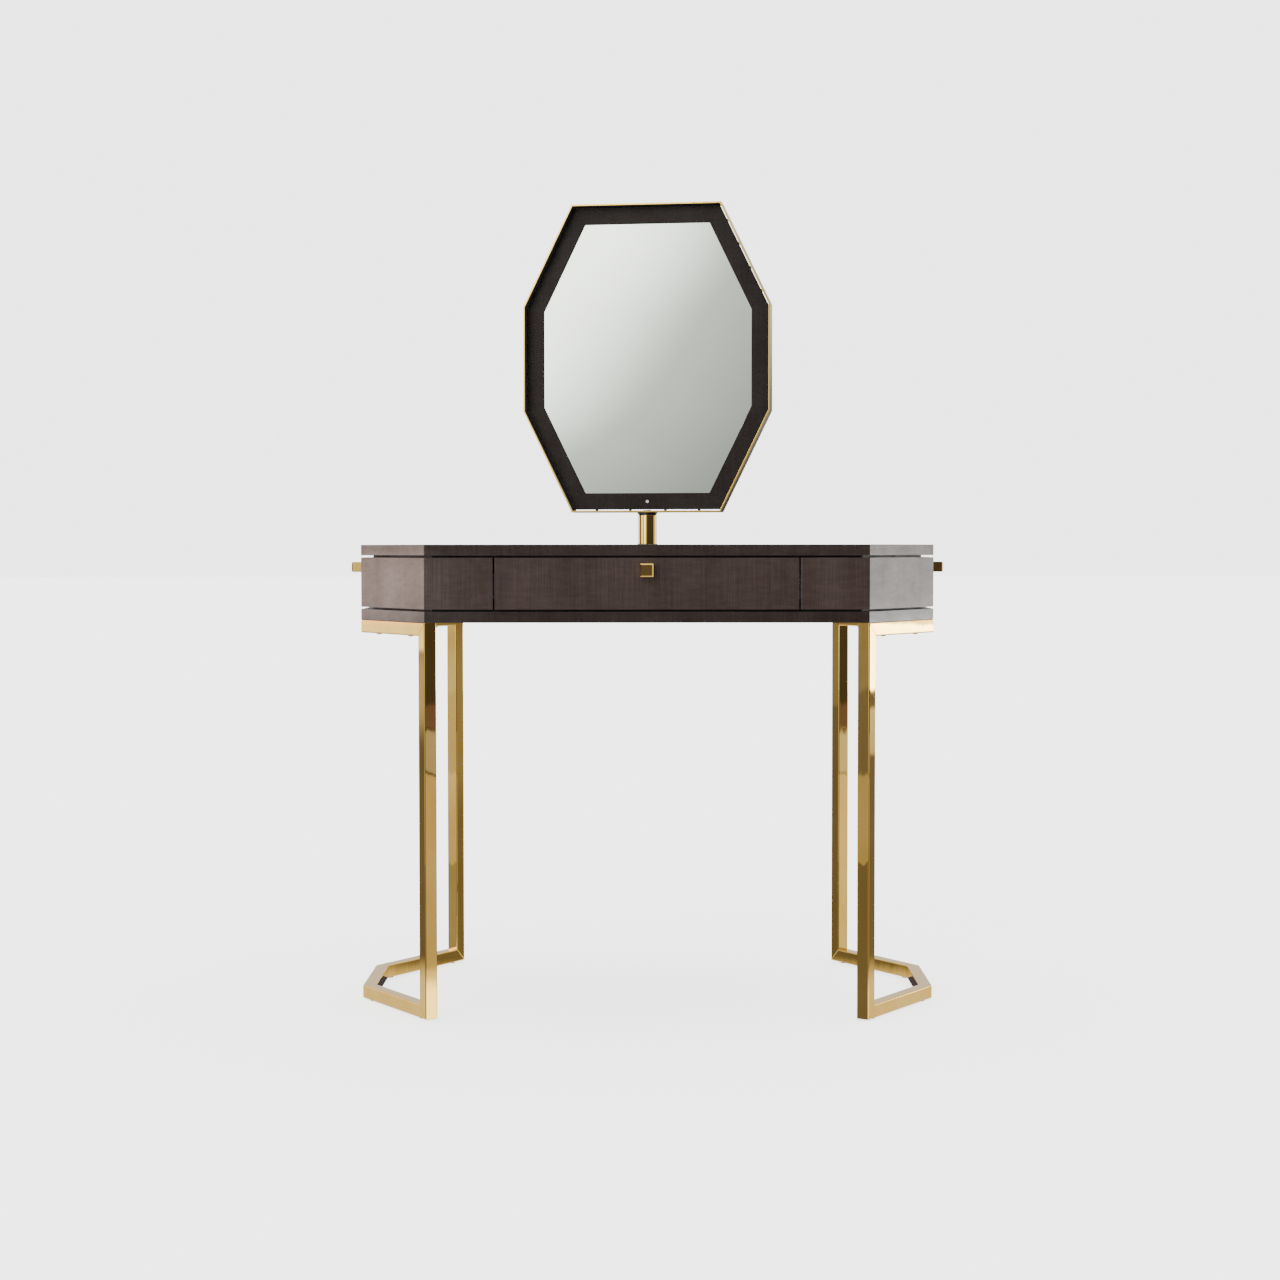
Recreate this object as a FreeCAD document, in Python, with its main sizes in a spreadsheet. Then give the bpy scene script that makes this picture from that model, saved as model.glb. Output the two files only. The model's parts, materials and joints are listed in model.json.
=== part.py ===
import FreeCAD, Part
import os
import re
import Sketcher
from FreeCAD import Vector

# A vanity table: an elongated octagon of veneered board on two bent leg frames of square
# brass tube, with three drawers, and an octagonal mirror that swivels on a round brass post.
# +Z is up, the front faces -Y, and the origin is on the floor under the middle of the table.

SIZES = {
    # the table's outline and layers
    "table_height": 760,
    "body_width": 952,
    "front_width": 706,
    "body_depth": 565,
    "side_depth": 189,
    "slab_thickness": 17.5,
    "reveal_height": 3.5,
    "reveal_inset": 20,
    "band_height": 82,
    # the band's panels and dividers
    "panel_thickness": 24,
    "divider_thickness": 18,
    "centre_opening": 488,
    # the drawers
    "drawer_gap": 2.5,
    "front_thickness": 17.5,
    "drawer_clearance": 7,
    "drawer_height": 58,
    "bottom_thickness": 5,
    "bottom_rise": 6,
    "groove_depth": 6,
    "centre_wall": 12,
    "centre_length": 440,
    "side_wall": 10,
    "side_box_width": 160,
    "side_back_gap": 12,
    # the telescopic rails of the centre drawer
    "rail_space": 13,
    "rail_depth": 10,
    "rail_height": 40,
    "rail_sheet": 1.5,
    "rail_lip": 6.5,
    "rail_play": 1,
    "rail_length": 430,
    # the wooden runners of the side drawers
    "runner_width": 12,
    "runner_height": 33,
    "runner_ledge": 13,
    "runner_length": 178,
    "runner_play": 1,
    # the knobs
    "centre_knob_size": 21,
    "side_knob_size": 17,
    "centre_knob_reach": 16,
    "side_knob_reach": 26.5,
    "centre_knob_drop": 19.7,
    "side_knob_drop": 16.5,
    "knob_bevel": 1.8,
    "knob_stud": 2,
    "stud_length": 15,
    # the leg frames
    "tube_size": 21.7,
    "tube_wall": 1.5,
    "tube_corner": 2,
    "glide_height": 2,
    "glide_radius": 7,
    "screw_radius": 2,
    "screw_play": 0.5,
    "screw_bite": 13,
    "head_radius": 4,
    "head_height": 2,
    # the mirror's post and swivel
    "post_setback": 60,
    "post_radius": 16.25,
    "post_wall": 2,
    "post_foot": 57,
    "post_play": 0.25,
    "socket_wall": 4,
    "socket_floor": 3,
    "socket_flange": 6,
    "flange_radius": 30,
    "ring_wall": 1.75,
    "ring_height": 2,
    "bush_height": 50,
    "bush_flange": 1.5,
    "pin_radius": 8,
    "pin_play": 0.05,
    "pin_end_gap": 2,
    "swivel_gap": 0.3,
    "washer_radius": 18,
    "washer_height": 3,
    "rivet_radius": 4,
    "rivet_head_radius": 7,
    "rivet_head": 1.5,
    # the mirror
    "mirror_foot": 818.3,
    "mirror_width": 445,
    "mirror_height": 549.5,
    "mirror_top_width": 269,
    "mirror_side_height": 188,
    "mirror_turn": 8.4,
    "hoop_wall": 3,
    "hoop_depth": 40,
    "hoop_recess": 20,
    "hoop_gap": 2.5,
    "wood_border": 28.5,
    "wood_thickness": 16,
    "glass_thickness": 4,
    "glass_play": 0.2,
    "clip_length": 4,
    "clip_depth": 10,
    "button_radius": 2.75,
    "button_height": 1.2,
    "button_shank": 1.5,
    "button_bite": 9,
}

DOC = FreeCAD.newDocument("VanityTable")
NODES = []


def make_sheet():
    """A spreadsheet with one aliased cell for each driving size."""
    sheet = DOC.addObject("Spreadsheet::Sheet", "Sizes")
    for row, (alias, value) in enumerate(SIZES.items(), start=1):
        sheet.set(f"A{row}", alias)
        sheet.set(f"B{row}", str(value))
        sheet.setAlias(f"B{row}", alias)
    DOC.recompute()
    return sheet


SHEET = make_sheet()


# ---- formulas -----------------------------------------------------------------------------

def cells(formula):
    """The formula with each alias, a word with an underscore, read from the sheet."""
    return re.sub(r"\b([a-z]+(?:_[a-z]+)+)\b", r"Sizes.\1", str(formula))


def number(formula):
    return float(SHEET.evalExpression(cells(formula)))


def bind(item, **formulas):
    for name, formula in formulas.items():
        item.setExpression(name, cells(formula))


def place(item, x="0", y="0", z="0", turn="0", pitch="0"):
    """Turn the item by pitch about its own Y, then by turn about Z, and move it."""
    rotation = f"rotation(vector(0; 0; 1); {turn}) * rotation(vector(0; 1; 0); {pitch})"
    item.setExpression("Placement", cells(f"placement(vector({x}; {y}; {z}); {rotation})"))


# ---- heights, from the floor up -----------------------------------------------------------

TOP_SLAB = "(table_height - slab_thickness)"
UPPER_BOARD = f"({TOP_SLAB} - reveal_height)"
BAND = f"({UPPER_BOARD} - band_height)"
LOWER_BOARD = f"({BAND} - reveal_height)"
UNDERSIDE = f"({LOWER_BOARD} - slab_thickness)"
CENTRE_KNOB_HEIGHT = f"({UPPER_BOARD} - centre_knob_drop)"
SIDE_KNOB_HEIGHT = f"({UPPER_BOARD} - side_knob_drop)"
BOX_FOOT = f"({BAND} + drawer_clearance)"
BOX_FLOOR = f"({BOX_FOOT} + bottom_rise)"
RAIL_MIDDLE = f"({BOX_FOOT} + drawer_height / 2)"

# ---- the octagon of the table, in plan -----------------------------------------------------

HALF_WIDTH = "(body_width / 2)"
HALF_FRONT = "(front_width / 2)"
HALF_DEPTH = "(body_depth / 2)"
HALF_SIDE = "(side_depth / 2)"
CORNER_RUN = f"({HALF_WIDTH} - {HALF_FRONT})"
CORNER_RISE = f"({HALF_DEPTH} - {HALF_SIDE})"
CORNER_LENGTH = f"sqrt({CORNER_RUN}^2 + {CORNER_RISE}^2)"
CORNER_TURN = f"atan({CORNER_RISE} / {CORNER_RUN})"
FRONT_MITRE = f"(({CORNER_LENGTH} - {CORNER_RUN}) / {CORNER_RISE})"
SIDE_MITRE = f"(({CORNER_LENGTH} - {CORNER_RISE}) / {CORNER_RUN})"
POST_Y = f"({HALF_DEPTH} - post_setback)"


def mirrored(points, flip_x=False, flip_y=False):
    """The outline on the other side of an axis, still turning the same way round."""
    sign_x = "-" if flip_x else ""
    sign_y = "-" if flip_y else ""
    flipped = [(f"{sign_x}({x})", f"{sign_y}({y})") for x, y in points]
    return flipped[::-1] if flip_x != flip_y else flipped


def octagon(width, flat, height, side, inset="0"):
    """An elongated octagon about the origin, each edge moved inward by inset."""
    run = f"({width} - {flat})"
    rise = f"({height} - {side})"
    slant = f"sqrt({run}^2 + {rise}^2)"
    x_flat = f"{flat} / 2 - ({inset}) * ({slant} - {run}) / {rise}"
    x_side = f"{width} / 2 - ({inset})"
    y_flat = f"{height} / 2 - ({inset})"
    y_side = f"{side} / 2 - ({inset}) * ({slant} - {rise}) / {run}"
    quarter = [(x_flat, f"-({y_flat})"), (x_side, f"-({y_side})")]
    right = quarter + mirrored(quarter, flip_y=True)
    return right + mirrored(right, flip_x=True)


def table_octagon(inset="0"):
    return octagon("body_width", "front_width", "body_depth", "side_depth", inset)


def mirror_octagon(inset="0"):
    return octagon("mirror_width", "mirror_top_width", "mirror_height", "mirror_side_height", inset)


def rectangle(x_low, x_high, y_low, y_high):
    return [(x_low, y_low), (x_high, y_low), (x_high, y_high), (x_low, y_high)]


# ---- sketches and features ------------------------------------------------------------------

def keep(item, label):
    item.Label = label
    NODES.append(item)
    return item


def new_body(label):
    return keep(DOC.addObject("PartDesign::Body", label), label)


def sketch_on(body, plane, offset="0"):
    """A sketch on one of the body's origin planes, moved along its normal by offset."""
    sketch = body.newObject("Sketcher::SketchObject", "Sketch")
    origin = next(item for item in body.Origin.OriginFeatures if item.Role == plane)
    sketch.AttachmentSupport = [(origin, "")]
    sketch.MapMode = "FlatFace"
    sketch.setExpression("AttachmentOffset.Base.z", cells(offset))
    return sketch


def fix_point(sketch, geometry, position, formulas):
    for kind, formula in zip(("DistanceX", "DistanceY"), formulas):
        constraint = Sketcher.Constraint(kind, -1, 1, geometry, position, number(formula))
        index = sketch.addConstraint(constraint)
        sketch.setExpression(f"Constraints[{index}]", cells(formula))


def add_outline(sketch, points):
    """A closed polygon whose corners follow pairs of formulas."""
    corners = [Vector(number(x), number(y), 0) for x, y in points]
    first = len(sketch.Geometry)
    count = len(points)
    for index in range(count):
        line = Part.LineSegment(corners[index], corners[(index + 1) % count])
        sketch.addGeometry(line, False)
    for index in range(count):
        following = first + (index + 1) % count
        sketch.addConstraint(Sketcher.Constraint("Coincident", first + index, 2, following, 1))
    for index, formulas in enumerate(points):
        fix_point(sketch, first + index, 1, formulas)


def add_circle(sketch, x, y, radius):
    centre = Vector(number(x), number(y), 0)
    circle = Part.Circle(centre, Vector(0, 0, 1), number(radius))
    geometry = sketch.addGeometry(circle, False)
    fix_point(sketch, geometry, 3, (x, y))
    index = sketch.addConstraint(Sketcher.Constraint("Radius", geometry, number(radius)))
    sketch.setExpression(f"Constraints[{index}]", cells(radius))


def pad(body, sketch, length, backwards=False):
    feature = body.newObject("PartDesign::Pad", "Pad")
    feature.Profile = sketch
    feature.Reversed = backwards
    bind(feature, Length=length)
    return feature


def pocket(body, sketch, depth=None, backwards=False):
    """Cut the sketch out of the body, to a depth or both ways right through."""
    DOC.recompute()
    before = body.Shape.Volume
    feature = body.newObject("PartDesign::Pocket", "Pocket")
    feature.Profile = sketch
    feature.Reversed = backwards
    if depth is None:
        feature.Type = "ThroughAll"
        feature.Midplane = True
    else:
        bind(feature, Length=depth)
    DOC.recompute()
    if body.Shape.Volume >= before:
        raise RuntimeError(f"{body.Label}: a pocket cut nothing")
    return feature


def round_edges(body, feature, radius, chosen):
    """Fillet the feature's edges that the chosen test picks."""
    DOC.recompute()
    names = [f"Edge{n}" for n, edge in enumerate(feature.Shape.Edges, 1) if chosen(edge)]
    fillet = body.newObject("PartDesign::Fillet", "Fillet")
    fillet.Base = (feature, names)
    bind(fillet, Radius=radius)
    return fillet


def plate(label, outline, foot, thickness, holes=()):
    """A flat board: an outline in plan, raised from foot, with round holes (x, y, radius)."""
    body = new_body(label)
    sketch = sketch_on(body, "XY_Plane", foot)
    add_outline(sketch, outline)
    for x, y, radius in holes:
        add_circle(sketch, x, y, radius)
    pad(body, sketch, thickness)
    place(body)
    return body


def bar_along_x(label, outlines, start, length):
    """Straight bars with their sections in the YZ plane, running along +X from start."""
    body = new_body(label)
    sketch = sketch_on(body, "YZ_Plane", start)
    for outline in outlines:
        add_outline(sketch, outline)
    pad(body, sketch, length)
    place(body)
    return body


def bar_along_y(label, outlines, start, length):
    """Straight bars with their sections in the XZ plane, running along +Y from start."""
    body = new_body(label)
    sketch = sketch_on(body, "XZ_Plane", f"-({start})")
    for outline in outlines:
        add_outline(sketch, outline)
    pad(body, sketch, length, backwards=True)
    place(body)
    return body


def turned(label, outline, y="0"):
    """A round piece: its half section (radius, height) revolved about the vertical axis."""
    body = new_body(label)
    sketch = sketch_on(body, "XZ_Plane")
    add_outline(sketch, outline)
    feature = body.newObject("PartDesign::Revolution", "Revolution")
    feature.Profile = sketch
    feature.ReferenceAxis = (sketch, ["V_Axis"])
    feature.Angle = 360
    place(body, y=y)
    return body


def group(label, items):
    """Separate identical solids that share one node."""
    compound = keep(DOC.addObject("Part::Compound", label), label)
    compound.Links = items
    return compound


def block(x, y, z, length, width, height, pitch):
    """A plain block for a group, from its own corner at x, y, z and tilted about its Y."""
    box = DOC.addObject("Part::Box", "Block")
    bind(box, Length=length, Width=width, Height=height)
    place(box, x, y, z, pitch=pitch)
    return box


def disc(x, y, z, radius, height):
    cylinder = DOC.addObject("Part::Cylinder", "Disc")
    bind(cylinder, Radius=radius, Height=height)
    place(cylinder, x, y, z)
    return cylinder


# ---- the table's body -----------------------------------------------------------------------

def corner_point(side, end, along, inward):
    """A point of a corner's tube run: along it from its front or back vertex, then inward."""
    x = (f"({HALF_FRONT} + ({along}) * {CORNER_RUN} / {CORNER_LENGTH}"
         f" - ({inward}) * {CORNER_RISE} / {CORNER_LENGTH})")
    y = (f"({HALF_DEPTH} - ({along}) * {CORNER_RISE} / {CORNER_LENGTH}"
         f" - ({inward}) * {CORNER_RUN} / {CORNER_LENGTH})")
    return f"{side} * {x}", f"{end} * {y}"


def frame_screw_places():
    """Two screws up through each corner's top tube and two through each side's."""
    places = []
    for side in (-1, 1):
        for end in (-1, 1):
            for share in (0.3, 0.8):
                places.append(corner_point(side, end, f"{share} * {CORNER_LENGTH}", "tube_size / 2"))
            side_y = f"{end} * {HALF_SIDE} / 2"
            places.append((f"{side} * ({HALF_WIDTH} - tube_size / 2)", side_y))
    return places


def make_slabs():
    ring_hole = ("0", POST_Y, "post_radius + ring_wall")
    plate("top_slab", table_octagon(), TOP_SLAB, "slab_thickness", [ring_hole])
    inner = table_octagon("reveal_inset")
    post_hole = ("0", POST_Y, "post_radius + post_play")
    plate("upper_reveal_board", inner, UPPER_BOARD, "reveal_height", [post_hole])
    plate("lower_reveal_board", inner, LOWER_BOARD, "reveal_height")
    bottom = plate("bottom_slab", table_octagon(), UNDERSIDE, "slab_thickness")
    pilots = sketch_on(bottom, "XY_Plane", UNDERSIDE)
    for x, y in frame_screw_places():
        add_circle(pilots, x, y, "screw_radius")
    pocket(bottom, pilots, "screw_bite", backwards=True)


def inner_corner():
    """Where the inner faces of a flat panel and its corner panel meet, front right."""
    x = f"({HALF_FRONT} - panel_thickness * {FRONT_MITRE})"
    return x, f"-({HALF_DEPTH} - panel_thickness)"


def make_panels():
    """The band's fixed faces: two beside the centre drawer, four corners and the back."""
    mitre_x, mitre_y = inner_corner()
    front = [
        ("centre_opening / 2", f"-{HALF_DEPTH}"),
        (HALF_FRONT, f"-{HALF_DEPTH}"),
        (mitre_x, mitre_y),
        ("centre_opening / 2", mitre_y),
    ]
    corner = [
        (HALF_FRONT, f"-{HALF_DEPTH}"),
        (HALF_WIDTH, f"-{HALF_SIDE}"),
        (f"{HALF_WIDTH} - panel_thickness * {CORNER_LENGTH} / {CORNER_RISE}", f"-{HALF_SIDE}"),
        (mitre_x, mitre_y),
    ]
    back = mirrored([
        (f"-{HALF_FRONT}", f"-{HALF_DEPTH}"),
        (HALF_FRONT, f"-{HALF_DEPTH}"),
        (mitre_x, mitre_y),
        (f"-{mitre_x}", mitre_y),
    ], flip_y=True)
    for name, flip in (("left", True), ("right", False)):
        plate(f"{name}_front_panel", mirrored(front, flip), BAND, "band_height")
        plate(f"{name}_front_corner_panel", mirrored(corner, flip), BAND, "band_height")
        plate(f"{name}_back_corner_panel", mirrored(corner, flip, True), BAND, "band_height")
        divider = rectangle(
            "centre_opening / 2",
            "centre_opening / 2 + divider_thickness",
            mitre_y,
            f"{HALF_DEPTH} - panel_thickness",
        )
        plate(f"{name}_divider", mirrored(divider, flip), BAND, "band_height")
    plate("back_panel", back, BAND, "band_height")


# ---- the drawers ----------------------------------------------------------------------------

def wall_section(outer, thickness):
    """A drawer side's section, its outer face at outer, with the bottom's groove inside."""
    inner = f"{outer} - {thickness}"
    return [
        (inner, BOX_FOOT),
        (outer, BOX_FOOT),
        (outer, f"{BOX_FOOT} + drawer_height"),
        (inner, f"{BOX_FOOT} + drawer_height"),
        (inner, f"{BOX_FLOOR} + bottom_thickness"),
        (f"{inner} + groove_depth", f"{BOX_FLOOR} + bottom_thickness"),
        (f"{inner} + groove_depth", BOX_FLOOR),
        (inner, BOX_FLOOR),
    ]


def both(outline):
    return [outline, mirrored(outline, flip_x=True)]


def knob(label, size, reach, x, y, height, turn):
    """A square block knob with bevelled front edges and a stud that screws into the front."""
    body = new_body(label)
    face = sketch_on(body, "YZ_Plane")
    add_outline(face, rectangle(f"-{size} / 2", f"{size} / 2", f"-{size} / 2", f"{size} / 2"))
    head = pad(body, face, reach)
    DOC.recompute()
    tip = number(reach)
    names = [
        f"Edge{n}" for n, edge in enumerate(head.Shape.Edges, 1)
        if abs(edge.BoundBox.XMin - tip) < 0.001
    ]
    bevel = body.newObject("PartDesign::Chamfer", "Chamfer")
    bevel.Base = (head, names)
    bind(bevel, Size="knob_bevel")
    stud = sketch_on(body, "YZ_Plane")
    add_circle(stud, "0", "0", "knob_stud")
    pad(body, stud, "stud_length", backwards=True)
    place(body, x, y, height, turn)


def drill_for_knob(front, plane, height, offset, backwards):
    """The stud's blind hole in a drawer front."""
    hole = sketch_on(front, plane, offset)
    add_circle(hole, "0", height, "knob_stud")
    pocket(front, hole, "stud_length", backwards)


def make_centre_drawer():
    front_width = "(centre_opening - 2 * drawer_gap)"
    outer = "(centre_opening / 2 - rail_space)"
    inner = f"({outer} - centre_wall)"
    start = f"(-{HALF_DEPTH} + front_thickness)"
    front = plate(
        "centre_drawer_front",
        rectangle(f"-{front_width} / 2", f"{front_width} / 2", f"-{HALF_DEPTH}", start),
        BAND,
        "band_height",
    )
    drill_for_knob(front, "XZ_Plane", CENTRE_KNOB_HEIGHT, HALF_DEPTH, False)
    bar_along_y("centre_drawer_sides", both(wall_section(outer, "centre_wall")),
                start, "centre_length")
    floor = rectangle(f"-({inner} + groove_depth)", f"{inner} + groove_depth",
                      start, f"{start} + centre_length - centre_wall")
    plate("centre_drawer_bottom", floor, BOX_FLOOR, "bottom_thickness")
    back = rectangle(f"-{inner}", inner, f"{start} + centre_length - centre_wall",
                     f"{start} + centre_length")
    plate("centre_drawer_back", back, BOX_FOOT, "drawer_height")
    knob("centre_knob", "centre_knob_size", "centre_knob_reach",
         "0", f"-{HALF_DEPTH}", CENTRE_KNOB_HEIGHT, "-90")


def make_rails():
    """Lipped channels on the dividers, and the drawer's T-shaped members inside them."""
    outer = "(centre_opening / 2)"
    web = f"({outer} - rail_sheet)"
    lip = f"({outer} - rail_depth + rail_sheet)"
    mouth = f"({outer} - rail_depth)"
    half = "(rail_height / 2)"
    inside = f"({half} - rail_sheet)"
    opening = f"({half} - rail_sheet - rail_lip)"
    upper = [(mouth, opening), (lip, opening), (lip, inside), (web, inside)]
    channel = [(outer, f"-{half}"), (outer, half), (mouth, half)] + upper
    channel += [(x, f"-{z}") for x, z in upper[::-1]] + [(mouth, f"-{half}")]
    wall = f"({outer} - rail_space)"
    shoulder = f"({lip} + rail_play)"
    nose = f"({web} - rail_play)"
    stem = f"({opening} - rail_play)"
    head = f"({inside} - rail_play)"
    half_tee = [(wall, stem), (shoulder, stem), (shoulder, head), (nose, head)]
    tee = half_tee + [(x, f"-{z}") for x, z in half_tee[::-1]]
    lifted = [[(x, f"{RAIL_MIDDLE} + {z}") for x, z in shape] for shape in (channel, tee)]
    fixed_start = f"-({HALF_DEPTH} - panel_thickness)"
    bar_along_y("centre_outer_rails", both(lifted[0]), fixed_start, "rail_length")
    moving_start = f"(-{HALF_DEPTH} + front_thickness)"
    bar_along_y("centre_inner_rails", both(lifted[1]), moving_start, "rail_length")


def make_side_drawers():
    half_box = "(side_box_width / 2)"
    inner = f"({half_box} - side_wall)"
    front_half = f"({HALF_SIDE} - drawer_gap)"
    tail = "(centre_opening / 2 + divider_thickness + side_back_gap)"
    nose = f"({HALF_WIDTH} - front_thickness)"
    half_runner = [
        (f"{half_box} + runner_play + runner_width", BAND),
        (f"{half_box} + runner_play + runner_width", f"{BAND} + runner_height"),
        (f"{half_box} + runner_play", f"{BAND} + runner_height"),
        (f"{half_box} + runner_play", f"{BOX_FOOT} - runner_play"),
        (f"{half_box} + runner_play - runner_ledge", f"{BOX_FOOT} - runner_play"),
        (f"{half_box} + runner_play - runner_ledge", BAND),
    ]
    runners = new_body("side_runners")
    for name, sign, turn in (("left", "-", "180"), ("right", "", "0")):
        flip = name == "left"
        front = plate(
            f"{name}_drawer_front",
            mirrored(rectangle(nose, HALF_WIDTH, f"-{front_half}", front_half), flip),
            BAND,
            "band_height",
        )
        drill_for_knob(front, "YZ_Plane", SIDE_KNOB_HEIGHT, f"{sign}{HALF_WIDTH}", flip)
        bar_along_x(f"{name}_drawer_sides", both(wall_section(half_box, "side_wall")),
                    f"-{nose}" if flip else tail, f"{nose} - {tail}")
        floor = rectangle(f"({tail} + side_wall)", nose,
                          f"-({inner} + groove_depth)", f"{inner} + groove_depth")
        plate(f"{name}_drawer_bottom", mirrored(floor, flip), BOX_FLOOR, "bottom_thickness")
        back = rectangle(tail, f"{tail} + side_wall", f"-{inner}", inner)
        plate(f"{name}_drawer_back", mirrored(back, flip), BOX_FOOT, "drawer_height")
        knob(f"{name}_knob", "side_knob_size", "side_knob_reach",
             f"{sign}{HALF_WIDTH}", "0", SIDE_KNOB_HEIGHT, turn)
        rail = sketch_on(runners, "YZ_Plane", f"{sign}(centre_opening / 2 + divider_thickness)")
        for outline in both(half_runner):
            add_outline(rail, outline)
        pad(runners, rail, "runner_length", backwards=flip)
    place(runners)


# ---- the leg frames -------------------------------------------------------------------------

PLAN = "XY_Plane"
UPRIGHT = "XZ_Plane"


def mitre_cut(at_end, length, setback):
    """The triangle that slants one end of a tube, from its outer to its inner side."""
    far = "tube_size"
    if at_end:
        return [(f"{length} - {setback}", far), (length, "0"), (length, far)]
    return [("0", "0"), (setback, far), ("0", far)]


def make_tube(label, length, cuts, position, turn, pitch, screw_steps=()):
    """A square tube along its own +X, its outer side at Y 0 and Z 0, mitred at both ends.

    A cut in plan meets the next tube round the table's corner, and an upright one meets
    the leg at a right angle.
    """
    body = new_body(label)
    section = sketch_on(body, "YZ_Plane")
    add_outline(section, rectangle("0", "tube_size", "0", "tube_size"))
    inside = "tube_size - tube_wall"
    add_outline(section, rectangle("tube_wall", inside, "tube_wall", inside))
    bar = pad(body, section, length)
    size = number("tube_size")

    def outer_edge(edge):
        point = edge.CenterOfMass
        on_y = min(abs(point.y), abs(point.y - size)) < 0.001
        on_z = min(abs(point.z), abs(point.z - size)) < 0.001
        return on_y and on_z

    round_edges(body, bar, "tube_corner", outer_edge)
    for plane, kind in ((PLAN, "plan"), (UPRIGHT, "upright")):
        setback = f"tube_size * {SIDE_MITRE}" if kind == "plan" else "tube_size"
        ends = [at_end for at_end in (False, True) if cuts[at_end] == kind]
        if ends:
            sketch = sketch_on(body, plane)
            for at_end in ends:
                add_outline(sketch, mitre_cut(at_end, length, setback))
            pocket(body, sketch)
    if screw_steps:
        holes = sketch_on(body, PLAN)
        for step in screw_steps:
            add_circle(holes, step, "tube_size / 2", "screw_radius + screw_play")
        pocket(body, holes)
    place(body, *position, turn, pitch)


def make_leg_frame(name, side, half_turn):
    """One closed loop of eight tubes round an end of the table, modelled on the right.

    The left frame is the same loop turned half round, so its front and back change places.
    """
    front, back = ("front", "back") if side == 1 else ("back", "front")
    near, far = "glide_height", UNDERSIDE
    height = f"({far} - {near})"
    slope = f"({CORNER_TURN} + {half_turn})"
    square = f"(90 deg + {half_turn})"
    return_slope = f"(180 deg - {CORNER_TURN} + {half_turn})"
    vertices = [
        (HALF_FRONT, f"-{HALF_DEPTH}"),
        (HALF_WIDTH, f"-{HALF_SIDE}"),
        (HALF_WIDTH, HALF_SIDE),
        (HALF_FRONT, HALF_DEPTH),
    ]

    def at(vertex, level):
        x, y = vertices[vertex]
        return f"{side} * {x}", f"{side} * ({y})", level

    corner_up = ("upright", "plan")
    corner_down = ("plan", "upright")
    flat = ("plan", "plan")
    leg = ("upright", "upright")
    start_steps = [f"{share} * {CORNER_LENGTH}" for share in (0.2, 0.7)]
    end_steps = [f"{share} * {CORNER_LENGTH}" for share in (0.3, 0.8)]
    side_steps = [f"{share} * {HALF_SIDE}" for share in (0.5, 1.5)]
    tubes = [
        (f"{front}_leg", height, leg, at(0, far), slope, "90", ()),
        (f"floor_{front}_tube", CORNER_LENGTH, corner_up, at(0, near), slope, "0", ()),
        ("floor_side_tube", "side_depth", flat, at(1, near), square, "0", ()),
        (f"floor_{back}_tube", CORNER_LENGTH, corner_down, at(2, near), return_slope, "0", ()),
        (f"{back}_leg", height, leg, at(3, near), return_slope, "-90", ()),
        (f"top_{back}_tube", CORNER_LENGTH, corner_up, at(3, far), return_slope, "180", end_steps),
        ("top_side_tube", "side_depth", flat, at(2, far), square, "180", side_steps),
        (f"top_{front}_tube", CORNER_LENGTH, corner_down, at(1, far), slope, "180", start_steps),
    ]
    for label, length, cuts, position, turn, pitch, steps in tubes:
        make_tube(f"{name}_{label}", length, cuts, position, turn, pitch, steps)


def make_frame_fittings():
    screws = []
    for x, y in frame_screw_places():
        foot = f"({UNDERSIDE} - tube_size)"
        reach = "tube_size + screw_bite"
        shank = disc(x, y, foot, "screw_radius", reach)
        head = disc(x, y, f"{foot} - head_height", "head_radius", "head_height")
        screw = DOC.addObject("Part::Fuse", "Screw")
        screw.Base = shank
        screw.Tool = head
        screws.append(screw)
    group("frame_screws", screws)
    glides = []
    for side in (-1, 1):
        for end in (-1, 1):
            for share in (0.12, 0.9):
                along = f"{share} * {CORNER_LENGTH}"
                x, y = corner_point(side, end, along, "tube_size / 2")
                glides.append(disc(x, y, "0", "glide_radius", "glide_height"))
    group("foot_glides", glides)


# ---- the post and its swivel ----------------------------------------------------------------

HOOP_FOOT = "mirror_foot"
WASHER_FOOT = f"({HOOP_FOOT} - washer_height)"
POST_TOP = f"({WASHER_FOOT} - swivel_gap - bush_flange)"
POST_FOOT = "(table_height - post_foot)"
PIN_FOOT = f"({POST_TOP} - bush_height + pin_end_gap)"
BORE = "(post_radius - post_wall)"


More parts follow.
